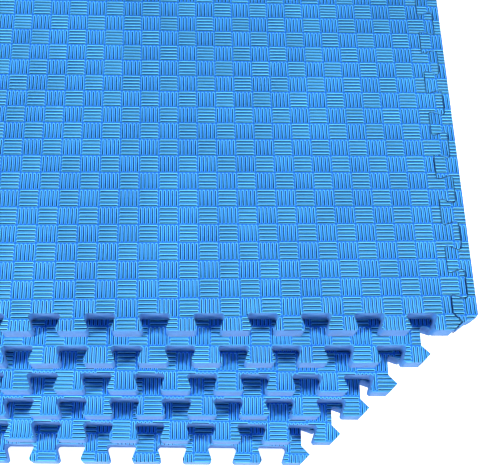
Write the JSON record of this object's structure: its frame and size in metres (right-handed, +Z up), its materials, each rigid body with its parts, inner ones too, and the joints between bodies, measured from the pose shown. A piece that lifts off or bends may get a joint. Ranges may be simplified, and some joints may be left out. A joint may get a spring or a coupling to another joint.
{
  "type": "interlocking foam blocking mats",
  "caption": "Fanned stack of square interlocking foam blocking mats with a ribbed top, jigsaw edges and a straight border strip on the top mat.",
  "frame": {"origin": "centre of the underside of the bottom mat, the rest face", "axes": "+Z up through the stack; +X along the bottom mat's front edge to the right; the front, towards which the lower mats fan out, is -Y"},
  "size_m": [0.7698, 0.7457, 0.132],
  "materials": {
    "foam_mat": "matte",
    "foam_border": "matte"
  },
  "bodies": {
    "mat_bottom": {"mat_bottom": "foam_mat"},
    "mat_fifth": {"mat_fifth": "foam_mat"},
    "mat_fourth": {"mat_fourth": "foam_mat"},
    "mat_third": {"mat_third": "foam_mat"},
    "mat_second": {"mat_second": "foam_mat"},
    "mat_top": {"mat_top": "foam_mat"},
    "border_strip": {"border_strip": "foam_border"}
  },
  "joints": [
    {"name": "fifth_lift", "type": "slide", "parent": "mat_bottom", "child": "mat_fifth", "axis": [0, 0, 1], "range_m": [0, 0.06]},
    {"name": "fourth_lift", "type": "slide", "parent": "mat_fifth", "child": "mat_fourth", "axis": [0, 0, 1], "range_m": [0, 0.06]},
    {"name": "third_lift", "type": "slide", "parent": "mat_fourth", "child": "mat_third", "axis": [0, 0, 1], "range_m": [0, 0.06]},
    {"name": "second_lift", "type": "slide", "parent": "mat_third", "child": "mat_second", "axis": [0, 0, 1], "range_m": [0, 0.06]},
    {"name": "top_lift", "type": "slide", "parent": "mat_second", "child": "mat_top", "axis": [0, 0, 1], "range_m": [0, 0.06]},
    {"name": "border_lift", "type": "slide", "parent": "mat_top", "child": "border_strip", "axis": [0, 0, 1], "range_m": [0, 0.06]}
  ]
}
